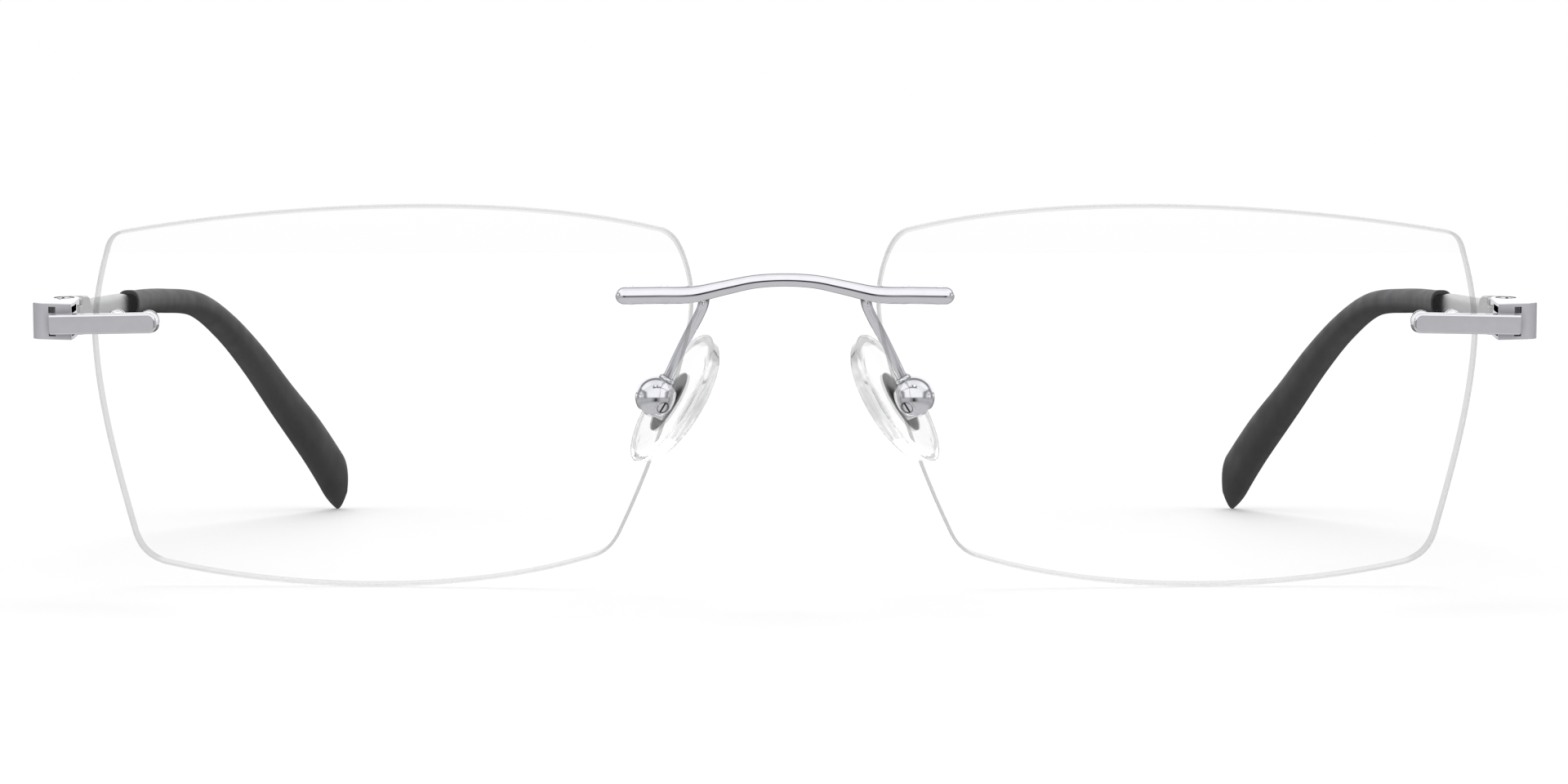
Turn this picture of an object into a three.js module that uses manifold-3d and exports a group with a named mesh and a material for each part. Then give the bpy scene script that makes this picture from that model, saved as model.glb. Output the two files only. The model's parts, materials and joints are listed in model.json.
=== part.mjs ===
// Rimless eyeglasses, 57-17-130: two drilled lenses, a wire bridge with adjustable nose pads,
// end pieces with three-barrel hinges, and metal temples in black sleeves.
// Millimetres, +Z up. The lenses face -Y and the temples run to +Y; the glasses stand open on z = 0.
// +X is the wearer's left. The origin is the middle of the foot print.

import * as THREE from "three";
import { mergeVertices } from "three/addons/utils/BufferGeometryUtils.js";
import Module from "manifold-3d";

const wasm = await Module();
wasm.setup();

// ---- driving dimensions ----
const TILT = 6 * (Math.PI / 180); // pantoscopic angle: the lens tops lean forward
const WRAP = 4 * (Math.PI / 180); // face form: each lens turns back towards its temple
const GAP = 0.05; // clearance between pieces that touch

const LENS_CENTRE = new THREE.Vector3(37, 0, 17.85);
const LENS_RADIUS = 130; // base curve of the front surface
const LENS_THICK = 1.6;
const BLANK_RADIUS = 36;
const HOLE_RADIUS = 0.82;

const STUD_RADIUS = 0.45;
const STUD_PITCH = 3.2;
const SLEEVE_RADIUS = 0.76;
const SLEEVE_BORE = 0.52;
const BUTTON_THICK = 0.6;

// Middle of each stud pair, on its lens, and the radius of the sleeve's heads behind it.
const BRIDGE_SEAT = { u: -24.2, w: 9.52, button: 0.78 };
const END_SEAT = { u: 25.2, w: 6.6, button: 1.0 };
const BRIDGE_END_RADIUS = 0.82;
const BRIDGE_MID_RADIUS = 0.64;
const BRIDGE_OVER = 0.18; // the wire's ends lie this much above their studs
const BRIDGE_RISE = 1.42;

const BAR = { inner: -3.5, outer: 7.4, height: 1.9, thick: 1.1, cornerRadius: 0.78 };
const BAR_DROOP = 2.8 * (Math.PI / 180); // the bar falls a little towards the temple, on the lens's face

const HINGE = new THREE.Vector3(68.6, 9.8, 25.4);
const LUG_RADIUS = 1.45;
const BLOCK_HEIGHT = 3.45;
const KNUCKLE_HEIGHT = 1.9;
const SLOT_HEIGHT = 2.06;
const SCREW_RADIUS = 0.6;
const SCREW_BORE = 0.68;
const SCREW_HEAD_RADIUS = 0.95;

const ARM_FRONT = 1.62; // how far behind the hinge axis the temple's front end lies
const ARM_HEIGHT = 2.35;
const ARM_THICK = 1.2;
const CORE_HEIGHT = 1.5;
const CORE_THICK = 0.9;
const LEAF = { length: 6, inner: -1.5, height: 3.7 };

const PAD_PIVOT = new THREE.Vector3(12.35, 7.45, 17.5); // on the pad screw's axis
const PAD_LONG = new THREE.Vector3(-0.523, -0.119, 0.844).normalize();
const PAD_FACING = new THREE.Vector3(-0.88, 0.48, 0); // towards the nose, before it is squared to PAD_LONG
const PAD_BALL = { radius: 2.0, raise: 0.3, face: 0.95 }; // cut flat towards the pad
const PAD_FORK = { from: -0.4, face: 1.15, width: 2.9, length: 2.6 };
const PAD_SLOT = { floor: -1.05, width: 1.3, low: -2.6, high: 1.15 };
const PAD_REACH = 1.9; // from the screw's axis to the pad's middle plane
const PAD_RAISE = 0.75; // the pad's centre sits above the screw
const PAD_SIDE = -0.35;
const PAD = { length: 14, width: 6.5, front: 2.6, back: 0.45 };
const PLATE = { length: 6.4, width: 2.4, thick: 0.4, depth: 0.05, raise: 0.35, side: -0.3 };
const LUG = { length: 1.5, width: 1.1, tail: 0.75, bore: 0.44 };
const PAD_SCREW_RADIUS = 0.38;
const PAD_SCREW_HEAD = 0.55;
const PAD_WIRE_RADIUS = 0.52;

// Temple centreline: straight from the hinge, a slight bow inwards, then the ear bend and the drop.
const TEMPLE_LINE = [
  [69.7, HINGE.y + ARM_FRONT, 25.4],
  [69.3, 36, 25.6],
  [68.6, 56, 25.85],
  [67.4, 73, 25.87],
  [65.4, 88, 25.15],
  [63.6, 98, 22.75],
  [61.4, 107, 18.8],
  [58.8, 115.5, 13.5],
  [56.2, 123, 8.6],
  [54.2, 129.5, 4.1],
  [53.3, 132, 1.9],
].map((p) => new THREE.Vector3(...p));
const SLEEVE_START = 0.323; // shares of the temple's length
const SLEEVE_MOUTH = { depth: 0.03, halfHeight: 1.08, halfWidth: 1.02, aside: -0.34 };
const SLEEVE_ASIDE = { at: -0.33, length: 0.08 }; // the mouth hugs the arm's outer face and stands off inside
const CORE_END = 0.94;
const DROP_START = 0.62;
const TIP_ROUNDING = 0.97;

const FRONT_REACH = -2.0; // foremost and rearmost points before the origin is set
const REAR_REACH = 132.18;

// ---- solids ----
// A closed three.js geometry as a manifold-3d solid, with its faces pointing out.
function solid(geometry) {
  const bare = new THREE.BufferGeometry();
  bare.setAttribute("position", geometry.getAttribute("position"));
  bare.setIndex(geometry.index);
  const merged = mergeVertices(bare, 1e-4);
  const corners = [];
  const index = merged.index.array;
  for (let i = 0; i < index.length; i += 3) {
    const [a, b, c] = [index[i], index[i + 1], index[i + 2]];
    if (a !== b && b !== c && c !== a) corners.push(a, b, c);
  }
  const build = (triangles) =>
    new wasm.Manifold(
      new wasm.Mesh({
        numProp: 3,
        vertProperties: merged.attributes.position.array,
        triVerts: new Uint32Array(triangles),
      }),
    );
  const made = build(corners);
  return made.volume() > 0 ? made : build(corners.reverse());
}

function geometryOf(made) {
  const mesh = made.getMesh();
  const geometry = new THREE.BufferGeometry();
  geometry.setAttribute("position", new THREE.BufferAttribute(mesh.vertProperties, 3));
  geometry.setIndex(new THREE.BufferAttribute(mesh.triVerts, 1));
  return geometry;
}

const placed = (geometry, frame) => geometry.clone().applyMatrix4(frame);
const shift = (x, y, z) => new THREE.Matrix4().makeTranslation(x, y, z);

function box(size, centre, frame = new THREE.Matrix4()) {
  const geometry = new THREE.BoxGeometry(...size).translate(...centre);
  return solid(placed(geometry, frame));
}

// A round rod along the frame's Y axis from y0 to y1, at (x, z).
function rodY(radius, y0, y1, frame = new THREE.Matrix4(), sides = 16, x = 0, z = 0) {
  const geometry = new THREE.CylinderGeometry(radius, radius, y1 - y0, sides);
  return solid(placed(geometry.translate(x, (y0 + y1) / 2, z), frame));
}

// A body of revolution about Z from [radius, height] pairs that start and end on the axis.
function turnedZ(profile, frame = new THREE.Matrix4(), sides = 24) {
  const points = profile.map(([r, h]) => new THREE.Vector2(r, h));
  return solid(placed(new THREE.LatheGeometry(points, sides).rotateX(Math.PI / 2), frame));
}

// Rings of points joined into one closed skin, with a flat fan on each end.
function loft(rings) {
  const n = rings[0].length;
  const positions = rings.flat().flatMap((p) => [p.x, p.y, p.z]);
  const index = [];
  for (let k = 0; k + 1 < rings.length; k++) {
    for (let i = 0; i < n; i++) {
      const [a, b] = [k * n + i, k * n + ((i + 1) % n)];
      index.push(a, b, b + n, a, b + n, a + n);
    }
  }
  const last = (rings.length - 1) * n;
  for (let i = 1; i + 1 < n; i++) {
    index.push(0, i + 1, i, last, last + i, last + i + 1);
  }
  const geometry = new THREE.BufferGeometry();
  geometry.setAttribute("position", new THREE.Float32BufferAttribute(positions, 3));
  geometry.setIndex(index);
  return solid(geometry);
}

// A superellipse ring about a point of a line: across is horizontal, up is in the line's own plane.
function ring(centre, across, up, halfAcross, top, bottom, sides, power = 2.4) {
  return Array.from({ length: sides }, (_, i) => {
    const angle = (i * 2 * Math.PI) / sides;
    const [c, s] = [Math.cos(angle), Math.sin(angle)];
    const a = halfAcross * Math.sign(c) * Math.abs(c) ** (2 / power);
    const b = (s > 0 ? top : bottom) * Math.sign(s) * Math.abs(s) ** (2 / power);
    return centre.clone().addScaledVector(across, a).addScaledVector(up, b);
  });
}

// Horizontal and upward directions square to a line at share t of its length.
function sidesOf(curve, t) {
  const along = curve.getTangentAt(t);
  const across = new THREE.Vector3(along.y, -along.x, 0).normalize();
  return { across, up: across.clone().cross(along).normalize() };
}

// ---- frames ----
const tiltFrame = shift(0, 0, LENS_CENTRE.z).multiply(new THREE.Matrix4().makeRotationX(TILT));
const lensFrame = tiltFrame
  .clone()
  .multiply(shift(LENS_CENTRE.x, 0, 0))
  .multiply(new THREE.Matrix4().makeRotationZ(WRAP));

const sag = (u, w) => LENS_RADIUS - Math.sqrt(LENS_RADIUS ** 2 - u * u - w * w);

// A stud pair's frame: the origin on the lens's front surface, X along the surface, Y into the lens.
function seatFrame({ u, w }) {
  const turn = new THREE.Matrix4().makeRotationZ(Math.asin(u / LENS_RADIUS));
  return lensFrame.clone().multiply(shift(u, sag(u, w), w)).multiply(turn);
}
const bridgeSeat = seatFrame(BRIDGE_SEAT);
const endSeat = seatFrame(END_SEAT);

// The nose pad's frame: the origin on its screw, X towards the nose, Y along the screw, Z up the pad.
function padFrame() {
  const facing = PAD_FACING.clone().addScaledVector(PAD_LONG, -PAD_FACING.dot(PAD_LONG)).normalize();
  const along = facing.clone().cross(PAD_LONG).negate();
  return new THREE.Matrix4().makeBasis(facing, along, PAD_LONG).setPosition(PAD_PIVOT);
}
const pad = padFrame();

const STUDS = [-STUD_PITCH / 2, STUD_PITCH / 2];

// ---- lens ----
function lensOutline() {
  const shape = new THREE.Shape();
  shape.moveTo(25.4, 15.2); // temple side, top
  shape.bezierCurveTo(9, 18.3, -11.5, 19.3, -25.2, 15.75);
  shape.bezierCurveTo(-26.5, 15.4, -27.2, 14.0, -27.7, 12.3);
  shape.bezierCurveTo(-28.5, 9.7, -28.3, 7.0, -27.3, 3.6);
  shape.bezierCurveTo(-26.1, -1.4, -24.3, -6.8, -21.6, -12.5);
  shape.bezierCurveTo(-21.2, -13.4, -20.6, -14.7, -18.9, -15.25);
  shape.bezierCurveTo(-7, -18.95, 9.5, -18.7, 21.6, -16.55);
  shape.bezierCurveTo(23.5, -16.2, 24.5, -15.2, 25.0, -13.6);
  shape.bezierCurveTo(26.6, -7.4, 28.4, -0.6, 28.6, 5.6);
  shape.bezierCurveTo(28.6, 7.8, 28.0, 11.0, 27.4, 13.0);
  shape.bezierCurveTo(27.1, 14.4, 26.6, 15.0, 25.4, 15.2);
  return shape;
}

function lens() {
  const rings = 6;
  const back = LENS_RADIUS - LENS_THICK;
  const radii = Array.from({ length: rings + 1 }, (_, i) => (BLANK_RADIUS * i) / rings);
  const profile = [
    ...radii.map((r) => new THREE.Vector2(r, sag(r, 0))),
    ...radii.reverse().map((r) => new THREE.Vector2(r, LENS_RADIUS - Math.sqrt(back * back - r * r))),
  ];
  const blank = solid(placed(new THREE.LatheGeometry(profile, 40), lensFrame));
  const edgeSize = { depth: 20, bevelEnabled: false, curveSegments: 6 };
  const edge = new THREE.ExtrudeGeometry(lensOutline(), edgeSize);
  edge.rotateX(Math.PI / 2).translate(0, 15, 0);
  let made = blank.intersect(solid(placed(edge, lensFrame)));
  for (const seat of [bridgeSeat, endSeat]) {
    for (const x of STUDS) made = made.subtract(rodY(HOLE_RADIUS, -3, LENS_THICK + 3, seat, 16, x));
  }
  return made;
}

// ---- lens fastening: a twin plastic sleeve pressed on each stud pair from behind ----
function bushing(seat, radius) {
  const rear = LENS_THICK + 0.15;
  let made = box([STUD_PITCH, BUTTON_THICK - 0.1, 1.1], [0, rear + BUTTON_THICK / 2 - 0.05, 0], seat);
  for (const x of STUDS) {
    const button = turnedZ(
      [
        [0, 0],
        [radius, 0],
        [radius, BUTTON_THICK * 0.55],
        [radius * 0.72, BUTTON_THICK],
        [0, BUTTON_THICK],
      ],
      seat.clone().multiply(shift(x, rear, 0)).multiply(new THREE.Matrix4().makeRotationX(-Math.PI / 2)),
      12,
    );
    made = made.add(button).add(rodY(SLEEVE_RADIUS, 0.12, rear + 0.2, seat, 12, x));
  }
  for (const x of STUDS) made = made.subtract(rodY(SLEEVE_BORE, -1, rear + 0.3, seat, 12, x));
  return made;
}

const studRods = (seat) => STUDS.map((x) => rodY(STUD_RADIUS, -0.5, LENS_THICK + 0.25, seat, 12, x));

// ---- bridge: one tapering wire with a low arch, and two studs behind each end ----
function bridge() {
  const seatPoint = new THREE.Vector3().setFromMatrixPosition(
    tiltFrame.clone().invert().multiply(bridgeSeat),
  );
  const slope = Math.tan(WRAP + Math.asin(BRIDGE_SEAT.u / LENS_RADIUS));
  const lineY = (x) => seatPoint.y - BRIDGE_END_RADIUS - GAP + (x - seatPoint.x) * slope;
  const w = BRIDGE_SEAT.w + BRIDGE_OVER;
  const half = [
    [15.75, lineY(15.75), w],
    [12, lineY(12), w],
    [8.6, lineY(8.6), w + 0.03],
    [5.6, 0.42, w + 0.67],
    [2.8, 0.3, w + 1.25],
  ].map((p) => new THREE.Vector3(...p));
  const mirrored = half.map((p) => new THREE.Vector3(-p.x, p.y, p.z)).reverse();
  const crown = new THREE.Vector3(0, 0.25, w + BRIDGE_RISE);
  const line = new THREE.CatmullRomCurve3([...half, crown, ...mirrored]);
  const steps = 28;
  const rings = [];
  for (let i = 0; i <= steps; i++) {
    const t = i / steps;
    const centre = line.getPointAt(t);
    const { across, up } = sidesOf(line, t);
    const reach = Math.min(1, Math.abs(centre.x) / 9);
    const waist = BRIDGE_MID_RADIUS + (BRIDGE_END_RADIUS - BRIDGE_MID_RADIUS) * reach * reach;
    const fromEnd = Math.min(t, 1 - t) * line.getLength();
    const cap = Math.min(1, (fromEnd + 0.12) / BRIDGE_END_RADIUS);
    const r = waist * Math.sqrt(1 - (1 - cap) ** 2);
    rings.push(ring(centre, across, up, r, r, r, 12, 2));
  }
  const wire = loft(rings.map((points) => points.map((p) => p.applyMatrix4(tiltFrame))));
  const studs = studRods(bridgeSeat).map((rod) => geometryOf(rod));
  const mirror = new THREE.Matrix4().makeScale(-1, 1, 1);
  return studs.reduce((made, g) => made.add(solid(g)).add(solid(placed(g, mirror))), wire);
}

// ---- end piece: flat bar over the lens, corner, and a forked hinge block ----
function barShape() {
  const [h, r, x0, x1] = [BAR.height / 2, BAR.cornerRadius, BAR.inner, BAR.outer];
  const shape = new THREE.Shape();
  shape.moveTo(x1, -h);
  shape.lineTo(x1, h);
  shape.lineTo(x0 + r, h);
  shape.absarc(x0 + r, h - r, r, Math.PI / 2, Math.PI, false);
  shape.absarc(x0 + r, -h + r, r, Math.PI, 1.5 * Math.PI, false);
  shape.closePath();
  return shape;
}

// Plan of the hinge block: a wall down the outside, and round lugs about the hinge axis.
function blockShape() {
  const { x, y } = HINGE;
  const shape = new THREE.Shape();
  shape.moveTo(x - 1.35, y - 4.9);
  shape.lineTo(x + 1.4, y - 4.35);
  shape.quadraticCurveTo(x + 2.45, y - 4.05, x + 2.5, y - 2.9);
  shape.lineTo(x + 2.5, y + 0.4);
  shape.quadraticCurveTo(x + 2.4, y + 1.2, x + 2.0, y + 1.5);
  shape.lineTo(x + 1.2, y + 1.5);
  shape.lineTo(x + 1.2, y + 0.81);
  shape.absarc(x, y, LUG_RADIUS, Math.asin(0.81 / LUG_RADIUS), Math.PI, false);
  shape.lineTo(x - LUG_RADIUS, y - 3.6);
  shape.closePath();
  return shape;
}

function endPiece() {
  const barSize = { depth: BAR.thick, bevelEnabled: false, curveSegments: 5 };
  const bar = new THREE.ExtrudeGeometry(barShape(), barSize);
  bar.rotateZ(-BAR_DROOP).rotateX(Math.PI / 2).translate(0, -GAP, 0);
  let made = solid(placed(bar, endSeat));
  for (const rod of studRods(endSeat)) made = made.add(rod);

  const leaning = shift(0, HINGE.y, HINGE.z)
    .multiply(new THREE.Matrix4().makeRotationX(TILT))
    .multiply(shift(0, -HINGE.y, 0));
  const blockSize = { depth: BLOCK_HEIGHT, bevelEnabled: false, curveSegments: 6 };
  const block = new THREE.ExtrudeGeometry(blockShape(), blockSize).translate(0, 0, -BLOCK_HEIGHT / 2);
  made = made.add(solid(placed(block, leaning)));

  // The knuckle's slot, the pocket in front of it above and below the bar, and the screw's bore.
  const { x, y, z } = HINGE;
  const clear = LUG_RADIUS + 0.12;
  const upright = shift(x, y, z).multiply(new THREE.Matrix4().makeRotationX(Math.PI / 2));
  const slotDisc = rodY(clear, -SLOT_HEIGHT / 2, SLOT_HEIGHT / 2, upright, 24);
  const slotInner = box([3, 2 * clear, SLOT_HEIGHT], [x - 1.5, y, z]);
  const slotRear = box([2 * clear - 0.9, 3, SLOT_HEIGHT], [x - 0.5, y + 1.5, z]);
  made = made.subtract(slotDisc).subtract(slotInner).subtract(slotRear);
  const pocketSize = [2.35, 2.6, 0.62];
  for (const side of [1, -1]) {
    made = made.subtract(box(pocketSize, [x - 0.35, y - 3.3, side * 1.09], leaning));
  }
  const head = turnedZ(
    [
      [0, -4],
      [SCREW_BORE, -4],
      [SCREW_BORE, 1.12],
      [SCREW_HEAD_RADIUS + 0.06, 1.4],
      [SCREW_HEAD_RADIUS + 0.06, 4],
      [0, 4],
    ],
    shift(x, y, z),
  );
  return made.subtract(head);
}

function hingeScrew() {
  const { x, y, z } = HINGE;
  const made = turnedZ(
    [
      [0, -1.55],
      [SCREW_RADIUS - 0.12, -1.55],
      [SCREW_RADIUS, -1.4],
      [SCREW_RADIUS, 1.16],
      [SCREW_HEAD_RADIUS - 0.02, 1.47],
      [SCREW_HEAD_RADIUS - 0.02, 1.62],
      [0, 1.72],
    ],
    shift(x, y, z),
    20,
  );
  return made.subtract(box([0.28, 3, 0.5], [x, y, z + 1.78]));
}

// ---- temple ----
const temple = new THREE.CatmullRomCurve3(TEMPLE_LINE, false, "centripetal");

// Even steps from t0 to t1 with a ring at each; size(t) gives halfAcross, top, bottom and a sideways shift.
function templeRings(t0, t1, steps, sides, size) {
  return Array.from({ length: steps + 1 }, (_, i) => {
    const t = t0 + ((t1 - t0) * i) / steps;
    const { across, up } = sidesOf(temple, t);
    const [halfAcross, top, bottom, aside = 0] = size(t);
    const centre = temple.getPointAt(t).addScaledVector(across, aside);
    return ring(centre, across, up, halfAcross, top, bottom, sides, 3);
  });
}

const ease = (t, t0, t1) => THREE.MathUtils.smoothstep(t, t0, t1);

// The flat arm narrows to the core that the sleeve hides. extra widens it for the sleeve's bore.
function armSize(t, extra) {
  const lower = ease(t, SLEEVE_START - 0.03, SLEEVE_START + 0.03);
  const thinner = ease(t, SLEEVE_START - 0.05, SLEEVE_START - 0.005);
  const h = THREE.MathUtils.lerp(ARM_HEIGHT, CORE_HEIGHT, lower) / 2 + extra;
  const w = THREE.MathUtils.lerp(ARM_THICK, CORE_THICK, thinner) / 2 + extra;
  return [w, h, h];
}

function templeArm() {
  const shank = templeRings(0, SLEEVE_START - 0.05, 5, 12, (t) => armSize(t, 0));
  const neck = templeRings(SLEEVE_START - 0.035, SLEEVE_START + 0.04, 5, 12, (t) => armSize(t, 0));
  const core = templeRings(SLEEVE_START + 0.08, CORE_END, 12, 12, (t) => armSize(t, 0));
  return loft([...shank, ...neck, ...core]);
}

// The sleeve swells into a blade down the drop; past TIP_ROUNDING it closes.
function sleeveSize(t) {
  const grow = ease(t, DROP_START, 1);
  const half = THREE.MathUtils.lerp(1.32, 2.95, grow);
  const width = THREE.MathUtils.lerp(1.36, 1.22, grow);
  const aside = SLEEVE_ASIDE.at * (1 - ease(t, SLEEVE_START, SLEEVE_START + SLEEVE_ASIDE.length));
  const end = Math.max(0, (t - TIP_ROUNDING) / (1 - TIP_ROUNDING));
  const flare = 0.14 * (1 - ease(t, SLEEVE_START, SLEEVE_START + 0.05));
  const thin = Math.sqrt(Math.max(0, 1 - (end * 0.9) ** 2));
  const fill = 0.3 * ease(t, 0.58, 0.68) * (1 - ease(t, 0.74, 0.86)); // fuller under the ear bend
  const [top, bottom] = [half * (1 - 1.2 * end * end), half * (1 - 0.15 * end * end) + fill];
  return [width * thin + flare + aside, top + flare, bottom + flare, aside];
}

// The bore opens into a wider oval mouth round the arm.
function mouthSize(t) {
  const [w, h] = armSize(t, 0.09);
  const open = 1 - ease(t, SLEEVE_START, SLEEVE_START + SLEEVE_MOUTH.depth);
  const halfWidth = Math.max(w, THREE.MathUtils.lerp(w, SLEEVE_MOUTH.halfWidth, open));
  const halfHeight = Math.max(h, THREE.MathUtils.lerp(h, SLEEVE_MOUTH.halfHeight, open));
  return [halfWidth, halfHeight, halfHeight, SLEEVE_MOUTH.aside * open];
}

function templeTip() {
  const front = templeRings(SLEEVE_START, SLEEVE_START + 0.05, 4, 14, sleeveSize);
  const body = templeRings(SLEEVE_START + 0.08, TIP_ROUNDING, 15, 14, sleeveSize);
  const point = templeRings(TIP_ROUNDING + 0.006, 1, 4, 14, sleeveSize);
  const mouth = templeRings(SLEEVE_START - 0.01, SLEEVE_START + 0.04, 6, 12, mouthSize);
  const bore = templeRings(SLEEVE_START + 0.06, CORE_END + 0.004, 14, 12, mouthSize);
  return loft([...front, ...body, ...point]).subtract(loft([...mouth, ...bore]));
}

// Hinge leaf: the middle barrel, and a plate brazed to the inside of the arm.
function hingeLeaf() {
  const { x, y, z } = HINGE;
  const upright = shift(x, y, z).multiply(new THREE.Matrix4().makeRotationX(Math.PI / 2));
  const h = KNUCKLE_HEIGHT;
  const barrel = rodY(LUG_RADIUS, -h / 2, h / 2, upright, 24);
  const outer = temple.getPointAt(0).x - x - ARM_THICK / 2 - GAP;
  const width = outer - LEAF.inner;
  const middle = x + (outer + LEAF.inner) / 2;
  const neck = box([width, ARM_FRONT + 0.4, h], [middle, y + (ARM_FRONT + 0.4) / 2, z]);
  const plate = new THREE.Shape();
  const [y0, y1, half] = [y + ARM_FRONT, y + ARM_FRONT + LEAF.length, LEAF.height / 2];
  plate.moveTo(y0, -half + 0.4);
  plate.quadraticCurveTo(y0, -half, y0 + 0.4, -half);
  plate.lineTo(y1 - 2.4, -half);
  plate.quadraticCurveTo(y1 - 0.2, -half + 0.1, y1, -0.9);
  plate.quadraticCurveTo(y1 + 0.3, 0, y1, 0.9);
  plate.quadraticCurveTo(y1 - 0.2, half - 0.1, y1 - 2.4, half);
  plate.lineTo(y0 + 0.4, half);
  plate.quadraticCurveTo(y0, half, y0, half - 0.4);
  const body = new THREE.ExtrudeGeometry(plate, { depth: width, bevelEnabled: false, curveSegments: 4 });
  const stand = new THREE.Matrix4().makeBasis(
    new THREE.Vector3(0, 1, 0),
    new THREE.Vector3(0, 0, 1),
    new THREE.Vector3(1, 0, 0),
  );
  body.applyMatrix4(stand).translate(x + LEAF.inner, 0, z);
  // The arm leans in as it runs back, so the plate's outer face is trimmed to it.
  const along = temple.getTangentAt(0.02);
  const trim = new THREE.Matrix4()
    .makeTranslation(x + outer, y + ARM_FRONT, z)
    .multiply(new THREE.Matrix4().makeRotationZ(Math.atan2(-along.x, along.y)));
  const bore = rodY(SCREW_BORE, -3, 3, upright, 24);
  return barrel.add(neck).add(solid(body)).subtract(box([2, 20, 8], [1, 6, 0], trim)).subtract(bore);
}

// ---- nose pad ----
const padTop = PAD_BALL.raise + PAD_BALL.radius; // where the wire meets the ball

function padWire() {
  const into = PAD_LONG.clone().multiplyScalar(padTop - 0.02).add(PAD_PIVOT);
  const line = new THREE.CatmullRomCurve3([
    new THREE.Vector3(7.55, 0.28, 27.6),
    new THREE.Vector3(7.55, 1.7, 27.3),
    new THREE.Vector3(7.7, 3.0, 26.5),
    new THREE.Vector3(8.25, 4.0, 25.3),
    new THREE.Vector3(8.95, 5.1, 24.0),
    new THREE.Vector3(9.75, 6.1, 22.4),
    new THREE.Vector3(10.45, 6.8, 20.95),
    into,
  ]);
  const steps = 16;
  const rings = Array.from({ length: steps + 1 }, (_, i) => {
    const { across, up } = sidesOf(line, i / steps);
    const r = PAD_WIRE_RADIUS;
    return ring(line.getPointAt(i / steps), across, up, r, r, r, 10, 2);
  });
  return loft(rings);
}

// A ball with a ring collar on top and a fork towards the pad; the pad's lug swings in the fork.
function padBox(wire) {
  const sphere = new THREE.SphereGeometry(PAD_BALL.radius, 20, 14).translate(0, 0, PAD_BALL.raise);
  const ball = solid(placed(sphere, pad));
  const flat = box([4, 6, 6], [PAD_BALL.face + 2, 0, 0], pad);
  const fork = box(
    [PAD_FORK.face - PAD_FORK.from, PAD_FORK.width, PAD_FORK.length],
    [(PAD_FORK.face + PAD_FORK.from) / 2, 0, 0],
    pad,
  );
  const collar = turnedZ(
    [
      [0, padTop - 0.5],
      [0.72, padTop - 0.5],
      [0.84, padTop - 0.05],
      [0.7, padTop + 0.22],
      [0, padTop + 0.22],
    ],
    pad,
    14,
  );
  const slot = box(
    [6, PAD_SLOT.width, PAD_SLOT.high - PAD_SLOT.low],
    [PAD_SLOT.floor + 3, 0, (PAD_SLOT.high + PAD_SLOT.low) / 2],
    pad,
  );
  const bore = rodY(PAD_SCREW_RADIUS + 0.07, -3, 3, pad);
  const seat = rodY(PAD_SCREW_HEAD + 0.06, 1.35, 3, pad);
  const room = PAD_WIRE_RADIUS + 0.08;
  const socket = turnedZ(
    [
      [0, padTop - 0.1],
      [room, padTop - 0.1],
      [room, padTop + 1],
      [0, padTop + 1],
    ],
    pad,
    12,
  );
  const body = ball.subtract(flat).add(fork).add(collar);
  return [slot, bore, seat, wire, socket].reduce((made, cut) => made.subtract(cut), body);
}

function padScrew() {
  const shank = rodY(PAD_SCREW_RADIUS, -1.75, 1.5, pad, 12);
  const head = rodY(PAD_SCREW_HEAD, 1.4, 1.85, pad, 14);
  return shank.add(head).subtract(box([0.2, 0.3, 3], [0, 1.85, 0], pad));
}

const padOffset = pad.clone().multiply(shift(PAD_REACH, PAD_SIDE, PAD_RAISE));
const coreOffset = pad.clone().multiply(shift(PAD_REACH + PLATE.depth, PLATE.side, PLATE.raise));

// An oval plate on X, grown by extra on every side.
function ovalPlate(extra) {
  const half = PLATE.thick / 2 + extra;
  const disc = new THREE.CylinderGeometry(1, 1, 2 * half, 20).rotateZ(Math.PI / 2);
  disc.scale(1, PLATE.width / 2 + extra, PLATE.length / 2 + extra);
  return solid(placed(disc, coreOffset));
}

function lugBar(extra) {
  const back = -LUG.tail;
  const front = PAD_REACH + PLATE.depth;
  const size = [front - back, LUG.width + 2 * extra, LUG.length + 2 * extra];
  return box(size, [(front + back) / 2, 0, 0], pad);
}

function padCore() {
  return ovalPlate(0).add(lugBar(0)).subtract(rodY(LUG.bore, -2, 2, pad));
}

// A soft oval pad, fuller on the side that meets the nose.
function nosePad() {
  const form = new THREE.SphereGeometry(1, 18, 12);
  const at = form.getAttribute("position");
  for (let i = 0; i < at.count; i++) {
    const p = new THREE.Vector3().fromBufferAttribute(at, i);
    const rho = Math.min(1, Math.hypot(p.y, p.z));
    const swell = Math.sqrt(Math.max(0, 1 - rho ** 3));
    const depth = p.x > 0 ? PAD.front : -PAD.back;
    const x = Math.abs(p.x) < 1e-6 ? 0 : depth * swell;
    at.setXYZ(i, x, (p.y * PAD.width) / 2, (p.z * PAD.length) / 2);
  }
  return solid(placed(form, padOffset)).subtract(ovalPlate(0.07)).subtract(lugBar(0.07));
}

// ---- assembly ----
const METAL = { color: 0xc3c4c8, roughness: 0.15, metalness: 1 };
const CLEAR = { color: 0xf4f6f6, roughness: 0.03, metalness: 0, transparent: true, opacity: 0.3 };
const SILICONE = { color: 0xf2f3f2, roughness: 0.12, metalness: 0, transparent: true, opacity: 0.45 };
const BLACK = { color: 0x232324, roughness: 0.55, metalness: 0 };

function piece(name, made, finish) {
  const mesh = new THREE.Mesh(geometryOf(made), new THREE.MeshStandardMaterial(finish));
  mesh.name = name;
  return mesh;
}

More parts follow.
